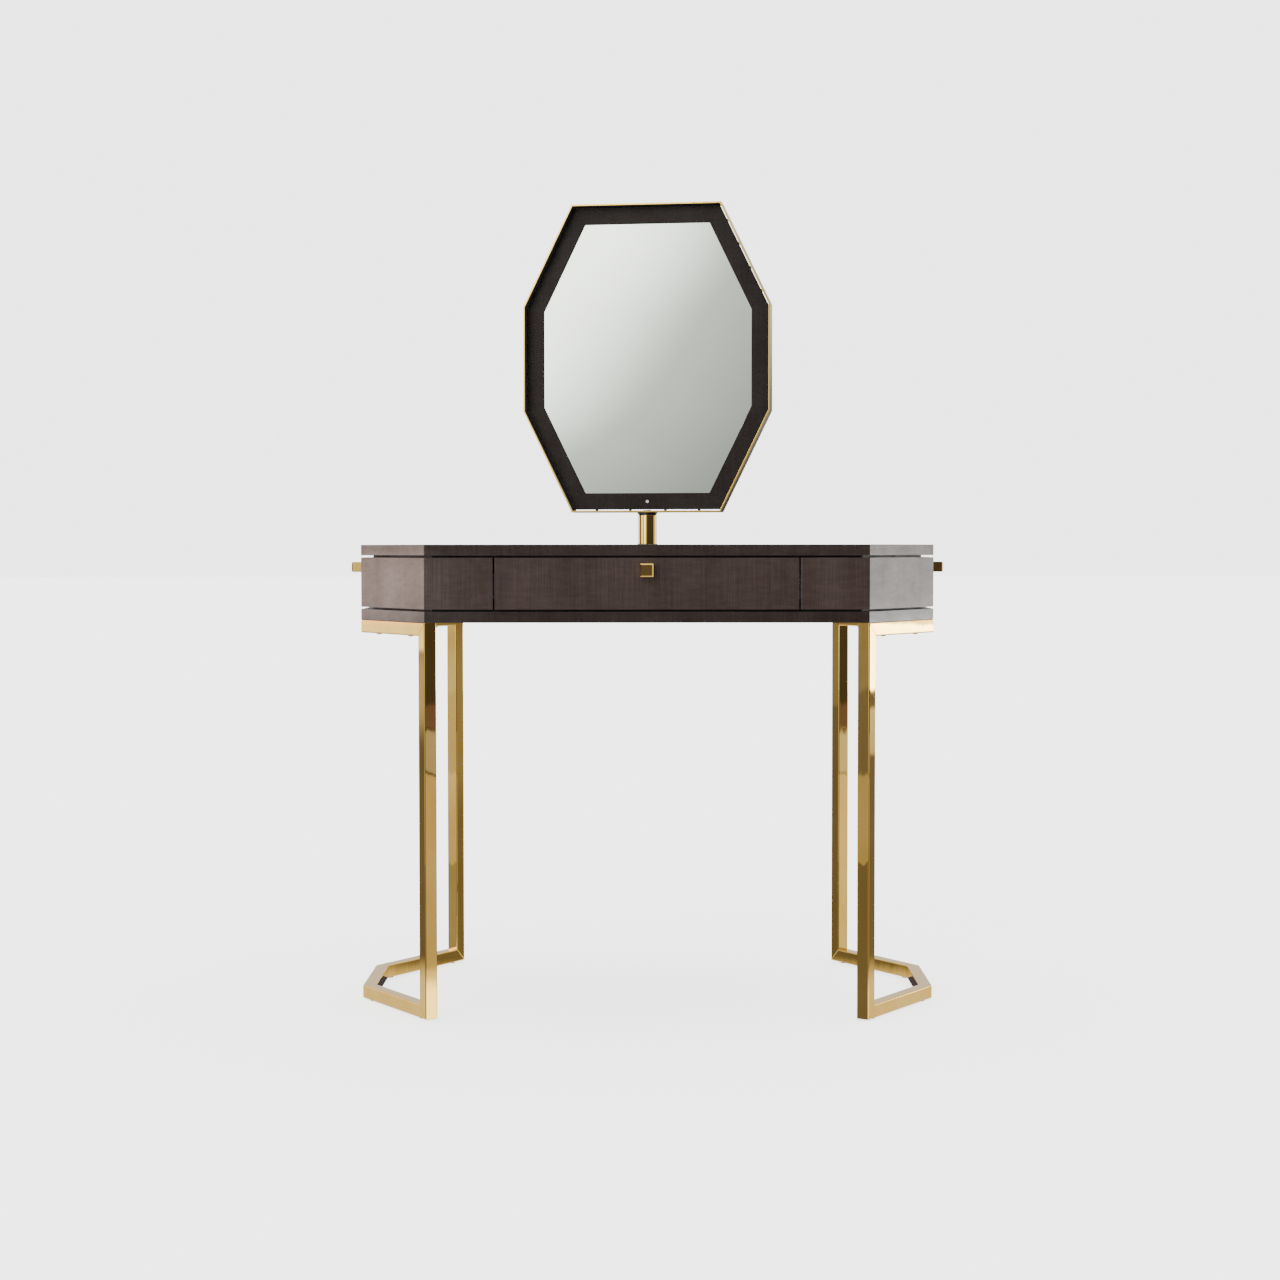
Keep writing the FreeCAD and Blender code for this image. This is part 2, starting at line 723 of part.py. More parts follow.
def make_post():
    tube = rectangle(BORE, "post_radius", POST_FOOT, POST_TOP)
    turned("post_tube", tube, y=POST_Y)
    ring = rectangle("post_radius", "post_radius + ring_wall",
                     TOP_SLAB, "table_height + ring_height")
    turned("post_ring", ring, y=POST_Y)
    outside = "(post_radius + post_play + socket_wall)"
    inside = "(post_radius + post_play)"
    socket = [
        ("0", f"{POST_FOOT} - socket_floor"),
        (outside, f"{POST_FOOT} - socket_floor"),
        (outside, f"{UPPER_BOARD} - socket_flange"),
        ("flange_radius", f"{UPPER_BOARD} - socket_flange"),
        ("flange_radius", UPPER_BOARD),
        (inside, UPPER_BOARD),
        (inside, POST_FOOT),
        ("0", POST_FOOT),
    ]
    turned("post_socket", socket, y=POST_Y)
    bush = [
        ("pin_radius + pin_play", f"{POST_TOP} - bush_height"),
        (BORE, f"{POST_TOP} - bush_height"),
        (BORE, POST_TOP),
        ("post_radius", POST_TOP),
        ("post_radius", f"{POST_TOP} + bush_flange"),
        ("pin_radius + pin_play", f"{POST_TOP} + bush_flange"),
    ]
    turned("swivel_bush", bush, y=POST_Y)
    pin = [
        ("0", PIN_FOOT),
        ("pin_radius", PIN_FOOT),
        ("pin_radius", HOOP_FOOT),
        ("rivet_radius", HOOP_FOOT),
        ("rivet_radius", f"{HOOP_FOOT} + hoop_wall"),
        ("rivet_head_radius", f"{HOOP_FOOT} + hoop_wall"),
        ("rivet_head_radius", f"{HOOP_FOOT} + hoop_wall + rivet_head"),
        ("0", f"{HOOP_FOOT} + hoop_wall + rivet_head"),
    ]
    turned("pivot_pin", pin, y=POST_Y)
    washer = rectangle("pin_radius", "washer_radius", WASHER_FOOT, HOOP_FOOT)
    turned("swivel_washer", washer, y=POST_Y)


# ---- the mirror, about its own centre, facing -Y ---------------------------------------------

MIRROR_MIDDLE = f"({HOOP_FOOT} + mirror_height / 2)"
HOOP_FRONT = "(-hoop_depth / 2)"
WOOD_FRONT = f"({HOOP_FRONT} + hoop_recess)"
WOOD_EDGE = "(hoop_wall + hoop_gap)"
GLASS_EDGE = f"({WOOD_EDGE} + wood_border)"


def place_in_mirror(item):
    place(item, "0", POST_Y, MIRROR_MIDDLE, "-mirror_turn")


def upright(label, outlines, front, depth, holes=()):
    """A flat piece of the mirror: outlines seen from the front, from front backwards."""
    body = new_body(label)
    sketch = sketch_on(body, "XZ_Plane", f"-({front})")
    for outline in outlines:
        add_outline(sketch, outline)
    for x, z, radius in holes:
        add_circle(sketch, x, z, radius)
    pad(body, sketch, depth, backwards=True)
    place_in_mirror(body)
    return body


def make_mirror():
    hoop = upright("mirror_hoop", [mirror_octagon(), mirror_octagon("hoop_wall")],
                   HOOP_FRONT, "hoop_depth")
    rivet_hole = sketch_on(hoop, "XY_Plane", "-mirror_height / 2 + hoop_wall")
    add_circle(rivet_hole, "0", "0", "rivet_radius")
    pocket(hoop, rivet_hole, "hoop_wall")
    panel = upright("mirror_panel", [mirror_octagon(WOOD_EDGE)], WOOD_FRONT, "wood_thickness")
    rebate = sketch_on(panel, "XZ_Plane", f"-{WOOD_FRONT}")
    add_outline(rebate, mirror_octagon(GLASS_EDGE))
    pocket(panel, rebate, "glass_thickness")
    button_z = f"(-mirror_height / 2 + {WOOD_EDGE} + wood_border / 2)"
    button_hole = sketch_on(panel, "XZ_Plane", f"-{WOOD_FRONT}")
    add_circle(button_hole, "0", button_z, "button_shank")
    pocket(panel, button_hole, "button_bite")
    upright("mirror_glass", [mirror_octagon(f"{GLASS_EDGE} + glass_play")],
            WOOD_FRONT, "glass_thickness")
    button = new_body("panel_button")
    head = sketch_on(button, "XZ_Plane", f"-{WOOD_FRONT}")
    add_circle(head, "0", button_z, "button_radius")
    pad(button, head, "button_height")
    shank = sketch_on(button, "XZ_Plane", f"-{WOOD_FRONT}")
    add_circle(shank, "0", button_z, "button_shank")
    pad(button, shank, "button_bite", backwards=True)
    place_in_mirror(button)


def make_clips():
    """Small dark clips in the gap between the hoop and the wood, four on each edge."""
    corners = mirror_octagon("hoop_wall")
    clips = []
    for index, (x_start, z_start) in enumerate(corners):
        x_end, z_end = corners[(index + 1) % len(corners)]
        run = f"(({x_end}) - ({x_start}))"
        rise = f"(({z_end}) - ({z_start}))"
        length = f"sqrt({run}^2 + {rise}^2)"
        angle = f"atan2({rise}; {run})"
        for share in (0.15, 0.38, 0.62, 0.85):
            along = f"({share} * {length} - clip_length / 2)"
            x = f"{x_start} + {along} * {run} / {length}"
            z = f"{z_start} + {along} * {rise} / {length}"
            clips.append(block(x, WOOD_FRONT, z, "clip_length", "clip_depth", "hoop_gap",
                               f"-{angle}"))
    place_in_mirror(group("hoop_clips", clips))


def make_everything():
    make_slabs()
    make_panels()
    make_centre_drawer()
    make_rails()
    make_side_drawers()
    make_leg_frame("right", 1, "0 deg")
    make_leg_frame("left", -1, "180 deg")
    make_frame_fittings()
    make_post()
    make_mirror()
    make_clips()
    DOC.recompute()


def check_everything():
    for item in DOC.Objects:
        if "Invalid" in item.State or "Error" in item.State:
            raise RuntimeError(f"{item.Label} failed: {item.State}")
    for node in NODES:
        if node.Shape.isNull() or not node.Shape.isValid() or not node.Shape.Solids:
            raise RuntimeError(f"{node.Label} has no valid solid")


make_everything()
check_everything()
os.makedirs("parts", exist_ok=True)
for node in NODES:
    node.Shape.exportStep(f"parts/{node.Label}.step")
print(len(NODES), "nodes")
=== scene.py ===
import json
import math

import bpy
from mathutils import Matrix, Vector


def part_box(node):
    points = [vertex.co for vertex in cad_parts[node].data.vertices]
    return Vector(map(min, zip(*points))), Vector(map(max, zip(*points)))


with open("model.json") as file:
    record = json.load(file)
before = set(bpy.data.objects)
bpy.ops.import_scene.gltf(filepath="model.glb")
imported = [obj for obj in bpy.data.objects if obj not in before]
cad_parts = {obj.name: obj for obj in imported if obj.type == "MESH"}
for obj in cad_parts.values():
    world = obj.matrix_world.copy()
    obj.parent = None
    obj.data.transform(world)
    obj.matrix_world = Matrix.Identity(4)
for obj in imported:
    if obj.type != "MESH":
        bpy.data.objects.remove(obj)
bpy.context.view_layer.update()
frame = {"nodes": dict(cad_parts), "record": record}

NODES = frame["nodes"]
SLOTS = {part["node"]: part["material_slot"] for part in frame["record"]["subparts"]}

# Linear colours of the finishes, and of the painted shade on the hoop's inward faces.
VENEER_DARK = (0.044, 0.0276, 0.0228)
VENEER_LIGHT = (0.088, 0.063, 0.0545)
VENEER_PORE = (0.018, 0.011, 0.010)
BRASS_DEEP = (0.86, 0.55, 0.115)
BRASS_BRIGHT = (0.94, 0.63, 0.155)
BRASS_SPOT = (0.62, 0.36, 0.09)
# Painted shade: the near black laid on the hoop's inward faces, which are brass lying in shade.
HOOP_PAINTED_SHADE = (0.012, 0.01, 0.009)
STEEL_DARK = (0.46, 0.47, 0.48)
STEEL_BRIGHT = (0.66, 0.66, 0.66)
GLASS_CLEAR = (0.84, 0.88, 0.80)
GLASS_HAZY = (0.82, 0.855, 0.78)
LINING_DARK = (0.20, 0.115, 0.062)
LINING_LIGHT = (0.36, 0.235, 0.14)

# The Mix node's sockets when it mixes vectors, which share their names with its other sockets.
MIX_VECTOR_A, MIX_VECTOR_B, MIX_VECTOR_RESULT = 4, 5, 1


# ---- node trees -----------------------------------------------------------------------------

class Shader:
    """A material under construction: its node tree and its Principled shader."""

    def __init__(self, name, **sockets):
        self.material = bpy.data.materials.new(name)
        self.material.use_nodes = True
        self.tree = self.material.node_tree
        self.surface = self.tree.nodes["Principled BSDF"]
        for socket, value in sockets.items():
            self.surface.inputs[socket.replace("_", " ")].default_value = value

    def node(self, kind, **settings):
        """A new node in the tree, with its settings."""
        made = self.tree.nodes.new(kind)
        for key, value in settings.items():
            setattr(made, key, value)
        return made

    def feed(self, socket, value):
        """Link another node's output to the socket, or set it to a constant."""
        if isinstance(value, bpy.types.NodeSocket):
            self.tree.links.new(value, socket)
        else:
            socket.default_value = value

    def math(self, operation, first, second=0.0):
        made = self.node("ShaderNodeMath", operation=operation)
        self.feed(made.inputs[0], first)
        self.feed(made.inputs[1], second)
        return made.outputs[0]

    def vector(self, operation, first, second):
        made = self.node("ShaderNodeVectorMath", operation=operation)
        self.feed(made.inputs[0], first)
        self.feed(made.inputs[1], second)
        return made.outputs[0]

    def position(self, shift=(0, 0, 0)):
        """The point in the part's own frame, in metres, moved by shift."""
        here = self.node("ShaderNodeTexCoord").outputs["Object"]
        return self.vector("ADD", here, shift)

    def noise(self, where, scale, detail=3.0, roughness=0.55, distortion=0.0):
        """Noise whose scale is given along each axis, in cycles a metre."""
        made = self.node("ShaderNodeTexNoise")
        self.feed(made.inputs["Vector"], self.vector("MULTIPLY", where, scale))
        made.inputs["Scale"].default_value = 1.0
        made.inputs["Detail"].default_value = detail
        made.inputs["Roughness"].default_value = roughness
        made.inputs["Distortion"].default_value = distortion
        return made.outputs["Fac"]

    def spread(self, value, low, high, to_low=0.0, to_high=1.0):
        """The value eased from the range low..high to the range to_low..to_high."""
        made = self.node("ShaderNodeMapRange", interpolation_type="SMOOTHSTEP")
        self.feed(made.inputs["Value"], value)
        for name, number in (("From Min", low), ("From Max", high),
                             ("To Min", to_low), ("To Max", to_high)):
            made.inputs[name].default_value = number
        return made.outputs["Result"]

    def mix(self, factor, first, second):
        """A colour between two colours."""
        made = self.node("ShaderNodeMix", data_type="RGBA")
        self.feed(made.inputs["Factor"], factor)
        self.feed(made.inputs["A"], first if hasattr(first, "links") else (*first, 1))
        self.feed(made.inputs["B"], second if hasattr(second, "links") else (*second, 1))
        return made.outputs["Result"]

    def bump(self, height, strength, distance, below=None):
        """A normal from a height, on top of the normal below."""
        made = self.node("ShaderNodeBump")
        made.inputs["Strength"].default_value = strength
        made.inputs["Distance"].default_value = distance
        self.feed(made.inputs["Height"], height)
        if below is not None:
            self.feed(made.inputs["Normal"], below)
        return made.outputs["Normal"]

    def finish(self, **links):
        """The finished material, once these sockets of its shader are fed."""
        for socket, value in links.items():
            self.feed(self.surface.inputs[socket.replace("_", " ")], value)
        return self.material


# ---- materials ------------------------------------------------------------------------------

def weighted(shader, *terms):
    """The sum of (value, weight) pairs."""
    total = 0.0
    for value, weight in terms:
        total = shader.math("ADD", shader.math("MULTIPLY", value, weight), total)
    return total


def grain_position(shader, shift):
    """The point with its grain laid along Z: upright on walls, front to back on tops."""
    here = shader.position(shift)
    facing = shader.node("ShaderNodeSeparateXYZ")
    shader.feed(facing.inputs[0], shader.node("ShaderNodeNewGeometry").outputs["Normal"])
    steepness = shader.math("ABSOLUTE", facing.outputs["Z"])
    is_top = shader.math("GREATER_THAN", steepness, 0.7)
    part = shader.node("ShaderNodeSeparateXYZ")
    shader.feed(part.inputs[0], here)
    laid = shader.node("ShaderNodeCombineXYZ")
    shader.feed(laid.inputs["X"], part.outputs["X"])
    shader.feed(laid.inputs["Y"], part.outputs["Z"])
    shader.feed(laid.inputs["Z"], part.outputs["Y"])
    chosen = shader.node("ShaderNodeMix", data_type="VECTOR")
    shader.feed(chosen.inputs["Factor"], is_top)
    shader.feed(chosen.inputs[MIX_VECTOR_A], here)
    shader.feed(chosen.inputs[MIX_VECTOR_B], laid.outputs[0])
    return chosen.outputs[MIX_VECTOR_RESULT]


def veneer(name, shift, depth=0.9, satin=False):
    """Very dark figured veneer under gloss lacquer, or under satin lacquer.

    The shift moves the figure, so that no two panels match. The depth scales the colour.
    """
    coat_roughness, thin_coat, thick_coat = (0.4, 0.12, 0.2) if satin else (0.09, 0.64, 1.0)
    shader = Shader(name, IOR=1.4, Specular_IOR_Level=0.1, Coat_Roughness=coat_roughness,
                    Coat_IOR=1.5)
    where = grain_position(shader, shift)
    streak = shader.spread(shader.noise(where, (520, 520, 7), 4, 0.7, 0.1), 0.34, 0.68)
    pores = shader.spread(shader.noise(where, (1500, 1500, 26), 2, 0.5), 0.56, 0.7)
    leaf = shader.spread(shader.noise(where, (24, 24, 1.2), 2, 0.5, 0.3), 0.34, 0.66)
    ripple = shader.spread(shader.noise(where, (34, 34, 130), 3, 0.55, 0.8), 0.34, 0.68)
    cloud = shader.spread(shader.noise(where, (9, 9, 12), 2, 0.5, 0.8), 0.32, 0.68)
    tone = weighted(shader, (streak, 0.36), (leaf, 0.2), (ripple, 0.22), (cloud, 0.22))
    dark = [depth * part for part in VENEER_DARK]
    light = [depth * part for part in VENEER_LIGHT]
    wood = shader.mix(tone, dark, light)
    colour = shader.mix(shader.math("MULTIPLY", pores, 0.35), wood, VENEER_PORE)
    peel = shader.noise(where, (70, 70, 70), 1, 0.4)
    under = shader.bump(shader.math("SUBTRACT", streak, pores), 0.25, 0.0002)
    lacquer = shader.bump(peel, 0.05, 0.0006)
    rough = shader.spread(streak, 0, 1, 0.34, 0.5)
    filled = shader.spread(tone, 0.1, 0.9, thin_coat, thick_coat)
    return shader.finish(Base_Color=colour, Normal=under, Coat_Normal=lacquer, Roughness=rough,
                         Coat_Weight=filled)


def plain_wood(name, along, dark, light):
    """Satin drawer lining wood, its grain running along one axis."""
    shader = Shader(name, IOR=1.45)
    where = shader.position()
    coarse = [60.0, 60.0, 60.0]
    fine = [700.0, 700.0, 700.0]
    coarse["XYZ".index(along)] = 2.5
    fine["XYZ".index(along)] = 14.0
    rings = shader.spread(shader.noise(where, coarse, 4, 0.6, 0.8), 0.32, 0.68)
    fibre = shader.spread(shader.noise(where, fine, 3, 0.6), 0.35, 0.65)
    tone = weighted(shader, (rings, 0.65), (fibre, 0.35))
    colour = shader.mix(tone, dark, light)
    rough = shader.spread(fibre, 0, 1, 0.42, 0.58)
    return shader.finish(Base_Color=colour, Roughness=rough,
                         Normal=shader.bump(fibre, 0.25, 0.0002))


def brass(name, painted_shade_centre=None):
    """Polished brass with faint tarnish, hairlines and slightly wavy faces.

    A hoop gets painted shade on the faces that look inward, toward the point given as its second
    argument: near black and not metallic, standing in for the shade in the gap between hoop and
    panel.
    """
    shader = Shader(name)
    where = shader.position()
    cloud = shader.spread(shader.noise(where, (9, 9, 6), 4, 0.6, 0.4), 0.35, 0.68)
    spots = shader.spread(shader.noise(where, (160, 160, 160), 2, 0.5), 0.62, 0.8)
    base = shader.mix(cloud, BRASS_DEEP, BRASS_BRIGHT)
    colour = shader.mix(shader.math("MULTIPLY", spots, 0.3), base, BRASS_SPOT)
    hairs = shader.noise(where, (900, 900, 60), 2, 0.5)
    rough = weighted(shader, (cloud, 0.014), (hairs, 0.01), (spots, 0.05))
    metal = 1.0
    # Painted shade: the hoop's inward faces get a near-black, non-metallic colour in place of the
    # shade in its gap.
    if painted_shade_centre:
        outward = shader.node("ShaderNodeVectorMath", operation="DOT_PRODUCT")
        shader.feed(outward.inputs[0], shader.position([-along for along in painted_shade_centre]))
        shader.feed(outward.inputs[1], shader.node("ShaderNodeTexCoord").outputs["Normal"])
        metal = shader.spread(outward.outputs["Value"], -0.12, -0.08)
        colour = shader.mix(metal, HOOP_PAINTED_SHADE, colour)
        rough = shader.math("MAXIMUM", rough, shader.spread(metal, 0.0, 1.0, 0.9, 0.0))
    waves = shader.bump(shader.noise(where, (42, 42, 5), 2, 0.5), 0.16, 0.0012)
    return shader.finish(Base_Color=colour, Metallic=metal,
                         Roughness=shader.math("ADD", rough, 0.004),
                         Normal=shader.bump(hairs, 0.015, 0.0001, waves))


def steel(name):
    """Bright drawn steel with level hairlines."""
    shader = Shader(name, Metallic=1.0, Anisotropic=0.4)
    where = shader.position()
    hairs = shader.noise(where, (40, 40, 1400), 3, 0.6)
    colour = shader.mix(hairs, STEEL_DARK, STEEL_BRIGHT)
    return shader.finish(Base_Color=colour, Roughness=shader.spread(hairs, 0.3, 0.7, 0.22, 0.4),
                         Normal=shader.bump(hairs, 0.06, 0.0001))


def dark_finish(name, colour, lighter, roughness, metallic=0.0):
    """A near-black board, coated metal or moulded plastic with a fine tooth to it."""
    shader = Shader(name, Metallic=metallic)
    where = shader.position()
    tooth = shader.noise(where, (1100, 1100, 1100), 2, 0.5)
    cloud = shader.noise(where, (25, 25, 25), 3, 0.6)
    tone = shader.mix(shader.spread(cloud, 0.35, 0.65), colour, lighter)
    rough = shader.spread(cloud, 0.3, 0.7, roughness - 0.06, roughness + 0.06)
    return shader.finish(Base_Color=tone, Roughness=rough,
                         Normal=shader.bump(tooth, 0.12, 0.0001))


def silvered_glass(name):
    """Mirror glass: a faint green tint and the slight haze of a wiped surface."""
    shader = Shader(name, Metallic=1.0, Coat_Weight=0.4, Coat_Roughness=0.01)
    where = shader.position()
    haze = shader.spread(shader.noise(where, (7, 7, 7), 4, 0.6, 0.6), 0.45, 0.75)
    colour = shader.mix(haze, GLASS_CLEAR, GLASS_HAZY)
    rough = shader.spread(haze, 0, 1, 0.012, 0.03)
    return shader.finish(Base_Color=colour, Roughness=rough)


# ---- dressing the CAD nodes -----------------------------------------------------------------

def soften(item, width, segments=2):
    """Round the node's hard edges a little, so that they catch the light."""
    weld = item.modifiers.new("Weld", "WELD")
    weld.merge_threshold = 0.00001
    bevel = item.modifiers.new("Bevel", "BEVEL")
    bevel.width = width
    bevel.segments = segments
    bevel.limit_method = "ANGLE"
    bevel.angle_limit = math.radians(28)
    bevel.harden_normals = False
    normals = item.modifiers.new("Normals", "WEIGHTED_NORMAL")
    normals.keep_sharp = False


def paint(item, material):
    """Give the whole item one material."""
    item.data.materials.clear()
    item.data.materials.append(material)


def dress_everything():
    """Give every node its material, by its slot in the record or by its own name."""
    slot_materials = {
        "polished_brass": brass("polished_brass"),
        "blackened_metal": dark_finish("blackened_metal", (0.012, 0.011, 0.010),
                                       (0.028, 0.025, 0.022), 0.3, 0.6),
        "bright_steel": steel("bright_steel"),
        "black_nylon": dark_finish("black_nylon", (0.02, 0.02, 0.02),
                                   (0.035, 0.034, 0.033), 0.5),
        "black_board": dark_finish("black_board", (0.010, 0.008, 0.008),
                                   (0.02, 0.016, 0.015), 0.45),
        "mirror_glass": silvered_glass("mirror_glass"),
    }
    lining_x = plain_wood("drawer_wood_along_x", "X", LINING_DARK, LINING_LIGHT)
    lining_y = plain_wood("drawer_wood_along_y", "Y", LINING_DARK, LINING_LIGHT)
    # The hoop's material has painted shade on the faces that look toward the middle of its box.
    low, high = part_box("mirror_hoop")
    hoop_with_painted_shade = brass("brass_with_painted_shade", tuple((low + high) / 2))
    wall = veneer("dark_veneer_walls", (0.4, 0.7, 0.2))
    own_veneers = {
        "top_slab": veneer("dark_veneer_top", (1.3, 0.2, 0.9), 0.58),
        "bottom_slab": veneer("dark_veneer_base", (2.1, 1.4, 0.3), 0.5),
        "mirror_panel": veneer("dark_veneer_mirror", (0.8, 2.5, 1.6), 0.36, satin=True),
        "centre_drawer_front": veneer("dark_veneer_centre", (3.1, 0.6, 2.2)),
        "left_drawer_front": veneer("dark_veneer_left", (2.7, 3.3, 0.5)),
        "right_drawer_front": veneer("dark_veneer_right", (0.1, 3.9, 2.8)),
    }
    for name, item in NODES.items():
        slot = SLOTS[name]
        if name == "mirror_hoop":
            # The hoop gets the brass with painted shade on its inward faces.
            paint(item, hoop_with_painted_shade)
        elif slot == "dark_veneer":
            paint(item, own_veneers.get(name, wall))
        elif slot == "drawer_wood":
            low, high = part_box(name)
            size = high - low
            paint(item, lining_x if size.x > size.y else lining_y)
        else:
            paint(item, slot_materials[slot])


def soften_everything():
    """Round the edges by the finish, in metres. Nylon parts are too small to need it."""
    widths = {
        "dark_veneer": 0.0006,
        "drawer_wood": 0.001,
        "black_board": 0.0003,
        "blackened_metal": 0.0002,
        "bright_steel": 0.0003,
        "mirror_glass": 0.0012,
        "polished_brass": 0.0007,
    }
    for name, item in NODES.items():
        slot = SLOTS[name]
        if name == "mirror_hoop":
            soften(item, 0.0003)
        elif slot in widths:
            soften(item, widths[slot], 1 if slot == "mirror_glass" else 2)


# ---- the studio -----------------------------------------------------------------------------

# Directions point from the object to what it reflects: X right, Y back, Z up. The heights of
# the bands are the Z of such a direction. Seen from the front, the legs reflect the heights
# from about -0.02, at their tops, to -0.24, at the floor.
BACKDROP = 4.4
LEFT_BOX = (-0.829, 0.559, 0.1)
RIGHT_BOX = (0.829, 0.559, 0.1)
KEY_LIGHT = (-0.54, -0.785, 0.3)
FILL_LIGHT = (0.8, -0.6, 0.3)
WHITE = (1.0, 0.98, 0.95)
CLEAR_WHITE = (1.0, 0.98, 0.96)
CREAM = (1.0, 0.97, 0.9)
PALE_CREAM = (1.0, 0.97, 0.92)
ROSE = (1.0, 0.74, 0.64)


class Surroundings:
    """The room that the object reflects: soft lights and dark parts, each in one direction."""

    def __init__(self):
        self.world = bpy.data.worlds.new("studio")
        bpy.context.scene.world = self.world
        self.world.use_nodes = True
        self.tree = self.world.node_tree
        self.tree.nodes.clear()
        self.direction = self.node("ShaderNodeTexCoord").outputs["Generated"]
        self.parts = self.node("ShaderNodeSeparateXYZ")
        self.feed(self.parts.inputs[0], self.direction)
        self.light = None

    node = Shader.node
    feed = Shader.feed
    math = Shader.math
    spread = Shader.spread

    def toward(self, centre, inner, outer):
        """1 within inner degrees of the centre's direction, fading to 0 at outer degrees."""
        dot = self.node("ShaderNodeVectorMath", operation="DOT_PRODUCT")
        self.feed(dot.inputs[0], self.direction)
        dot.inputs[1].default_value = Vector(centre).normalized()
        return self.spread(dot.outputs["Value"], math.cos(math.radians(outer)),
                           math.cos(math.radians(inner)))

    def level(self, axis, low, high):
        """0 below the height low and 1 above high, along one axis of the direction."""
        return self.spread(self.parts.outputs[axis], low, high)

    def both(self, first, second):
        """1 where both masks are 1."""
        return self.math("MULTIPLY", first, second)

    def band(self, low, high, soft=0.006):
        """1 between two heights of the direction, 0 outside them."""
        return self.both(self.level("Z", low - soft, low + soft),
                         self.math("SUBTRACT", 1.0, self.level("Z", high - soft, high + soft)))

    def add(self, colour, strength, mask=None):
        """Add light of one colour, everywhere or where the mask is 1."""
        tint = self.node("ShaderNodeVectorMath", operation="SCALE")
        tint.inputs[0].default_value = colour
        if mask is None:
            tint.inputs["Scale"].default_value = strength
        else:
            self.feed(tint.inputs["Scale"], self.math("MULTIPLY", mask, strength))
        if self.light is None:
            self.light = tint.outputs[0]
            return
        total = self.node("ShaderNodeVectorMath", operation="ADD")
        self.feed(total.inputs[0], self.light)
        self.feed(total.inputs[1], tint.outputs[0])
        self.light = total.outputs[0]

    def add_band(self, colour, strength, where, low, high, soft=0.006):
        """Add light inside one mask, between two heights."""
        self.add(colour, strength, self.both(where, self.band(low, high, soft)))

    def finish(self):
        """The camera itself sees an even pale backdrop instead."""
        room = self.node("ShaderNodeBackground")
        self.feed(room.inputs["Color"], self.light)
        backdrop = self.node("ShaderNodeBackground")
        backdrop.inputs["Strength"].default_value = BACKDROP
        choice = self.node("ShaderNodeMixShader")
        self.feed(choice.inputs[0], self.node("ShaderNodeLightPath").outputs["Is Camera Ray"])
        self.feed(choice.inputs[1], room.outputs[0])
        self.feed(choice.inputs[2], backdrop.outputs[0])
        output = self.node("ShaderNodeOutputWorld")
        self.feed(output.inputs["Surface"], choice.outputs[0])


def light_the_sides(room):
    """The even light of the room, then what the brass reflects to the sides, front and back."""
    x, y, z = (room.parts.outputs[axis] for axis in "XYZ")
    left = room.spread(x, -0.5, -0.62)
    right = room.spread(x, 0.5, 0.62)
    front = room.spread(y, -0.1, -0.2)
    back = room.spread(y, 0.1, 0.2)
    left_front, right_front = room.both(left, front), room.both(right, front)
    left_back, right_back = room.both(left, back), room.both(right, back)

    # All round, and the ceiling.
    room.add((0.92, 0.84, 1.15), 0.08)
    room.add(WHITE, 0.8, room.level("Z", 0.35, 0.9))

    # To the right and front, from the top of the legs down to the floor.
    room.add_band((1.0, 0.6, 1.0), 0.11, right_front, -0.0755, -0.0652, 0.001)
    room.add_band((0.95, 0.98, 1.4), 0.5, right_front, -0.094, -0.0768, 0.0005)
    room.add_band((1.0, 0.92, 0.86), 0.62, right_front, -0.178, -0.0952, 0.0005)
    room.add_band((1.0, 1.0, 1.1), 0.35, room.toward((0.946, -0.323, -0.12), 4, 7),
                  -0.178, -0.0755, 0.001)
    room.add_band((1.0, 0.97, 0.86), 3.6, right_front, -0.24, -0.18)

    # To the left and front.
    room.add_band((0.95, 1.0, 1.2), 0.12, left_front, -0.0597, -0.03, 0.001)
    room.add_band((1.0, 0.9, 0.75), 0.32, left_front, -0.132, -0.0945, 0.0005)
    room.add_band((1.0, 1.0, 1.2), 0.12, left_front, -0.9, -0.01, 0.01)

    # To the back, and the pale floor on every side.
    room.add_band(PALE_CREAM, 0.1, left_back, -0.9, -0.02, 0.02)
    room.add_band(PALE_CREAM, 0.13, right_back, -0.9, -0.02, 0.02)
    room.add_band((1.0, 0.94, 0.78), 0.95, room.math("ADD", left_back, right_back), -0.24, -0.175)
    room.add_band((1.0, 0.98, 0.94), 0.7, room.spread(y, -0.6, -0.8), -0.24, -0.18)
    room.add((1.0, 0.99, 0.96), 0.85, room.spread(z, -0.215, -0.3))

    # The walls above the horizon: all but straight in front, and straight behind.
    room.add((1.0, 0.99, 0.97), 0.55,
             room.both(room.level("Z", 0.03, 0.16), room.spread(y, -0.92, -0.75)))
    room.add((0.97, 1.0, 0.98), 0.35,
             room.both(room.spread(y, 0.6, 0.8), room.level("Z", -0.1, 0.1)))


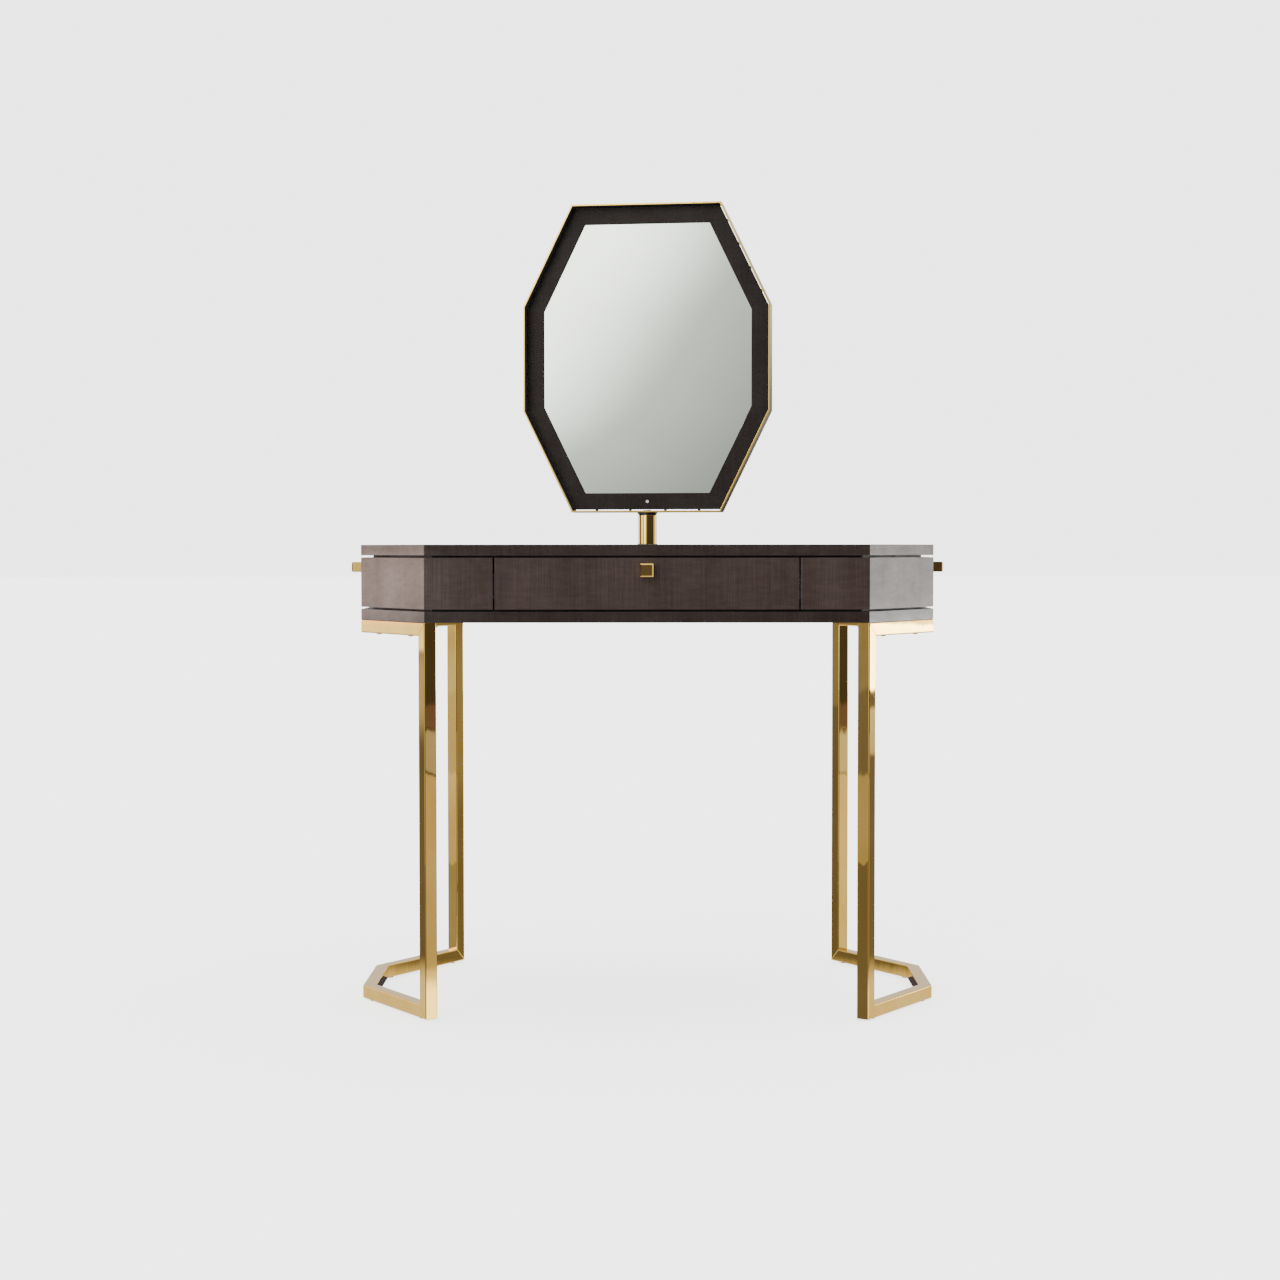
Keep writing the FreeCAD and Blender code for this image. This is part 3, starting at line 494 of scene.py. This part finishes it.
def light_the_boxes(room):
    """The two soft boxes beside the object, and the patches that single faces reflect."""
    left_box = room.toward(LEFT_BOX, 10, 14)
    room.add(ROSE, 2.5, room.both(left_box, room.level("Z", -0.033, -0.029)))
    room.add_band(ROSE, 1.0, left_box, -0.026, -0.005, 0.002)
    room.add_band(CREAM, 1.7, left_box, -0.042, -0.031, 0.002)
    room.add_band(CREAM, 0.5, left_box, -0.075, -0.042, 0.01)
    right_box = room.toward(RIGHT_BOX, 10, 14)
    room.add((1.0, 0.96, 0.9), 3.6, room.both(right_box, room.level("Z", -0.036, -0.03)))
    room.add_band(CLEAR_WHITE, 11.0, right_box, -0.0595, -0.032, 0.001)
    room.add_band(CLEAR_WHITE, 0.9, right_box, -0.086, -0.0665, 0.001)

    room.add(WHITE, 3.2,
             room.both(room.toward((-0.966, -0.26, 0.1), 7, 14), room.level("Z", -0.04, 0.005)))
    room.add_band(WHITE, 0.12, room.toward((-0.946, 0.323, -0.06), 3, 6), -0.066, -0.03, 0.001)
    room.add_band(WHITE, 0.24, room.toward((-0.949, -0.318, -0.1), 5, 9), -0.2, -0.03, 0.02)
    room.add_band(WHITE, 0.35, room.toward((-0.949, -0.318, -0.05), 4, 7), -0.1, -0.03, 0.02)
    room.add_band(WHITE, 0.14, room.toward((0.948, 0.318, -0.05), 4, 7), -0.1, -0.03, 0.02)
    room.add((1.0, 0.86, 0.62), 1.6, room.toward((0.978, 0.1, 0.12), 7, 13))


def light_the_front(room):
    """A low patch straight in front, then the key light in three rings, and the fill light."""
    below = room.spread(room.parts.outputs["Z"], 0.002, -0.002)
    room.add(WHITE, 0.85, room.both(room.toward((-0.14, -0.99, -0.01), 2, 4), below))
    room.add((1.0, 0.9, 1.3), 0.05, room.both(room.toward((0.0, -1.0, -0.01), 2, 4), below))
    room.add((0.96, 1.0, 0.97), 2.9, room.toward(KEY_LIGHT, 17.8, 22.4))
    room.add((0.96, 1.0, 0.95), 0.65, room.toward(KEY_LIGHT, 20, 26.5))
    room.add((0.96, 1.0, 0.9), 0.4, room.toward(KEY_LIGHT, 26, 34))
    room.add((0.95, 1.0, 0.98), 1.3, room.toward(FILL_LIGHT, 6, 12))


def make_world():
    """The studio that lights the object and shows in the brass, the lacquer and the glass."""
    room = Surroundings()
    light_the_sides(room)
    light_the_boxes(room)
    light_the_front(room)
    room.finish()


def make_floor():
    """A pale floor, which glows a little so that it meets the backdrop without a line.

    It shows only to the camera: the world's own floor light stands in for it elsewhere.
    """
    reach = 60.0
    mesh = bpy.data.meshes.new("floor")
    mesh.from_pydata([(-reach, -reach, 0), (reach, -reach, 0), (reach, reach, 0),
                      (-reach, reach, 0)], [], [(0, 1, 2, 3)])
    floor = bpy.data.objects.new("floor", mesh)
    bpy.context.scene.collection.objects.link(floor)
    shader = Shader("pale_floor", Base_Color=(0.86, 0.86, 0.855, 1), Roughness=0.8,
                    Specular_IOR_Level=0.1, Emission_Color=(1, 1, 1, 1), Emission_Strength=2.3)
    mesh.materials.append(shader.material)
    floor.visible_diffuse = False
    floor.visible_glossy = False


def make_lights():
    """One large soft light from above, which the polished faces don't show."""
    data = bpy.data.lights.new("overhead", "SUN")
    data.energy = 2.4
    data.angle = math.radians(75)
    item = bpy.data.objects.new("overhead", data)
    bpy.context.scene.collection.objects.link(item)
    item.rotation_euler = (math.radians(-8), math.radians(6), 0)
    item.visible_glossy = False


def make_camera():
    """Almost level with the table top, straight on, from about 3.75 m in front of it."""
    data = bpy.data.cameras.new("camera")
    data.sensor_width = 36.0
    data.lens = 66.53
    data.clip_end = 300.0
    camera = bpy.data.objects.new("camera", data)
    bpy.context.scene.collection.objects.link(camera)
    front_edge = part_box("top_slab")[0].y
    distance, height, aside = 3.7468, 0.7534, 0.0099
    down, roll, turn = 0.0386, 0.0006, 0.0055
    camera.location = (aside, front_edge - distance, height)
    camera.rotation_euler = (math.pi / 2 - down, roll, turn)
    bpy.context.scene.camera = camera


dress_everything()
soften_everything()
make_floor()
make_world()
make_lights()
make_camera()
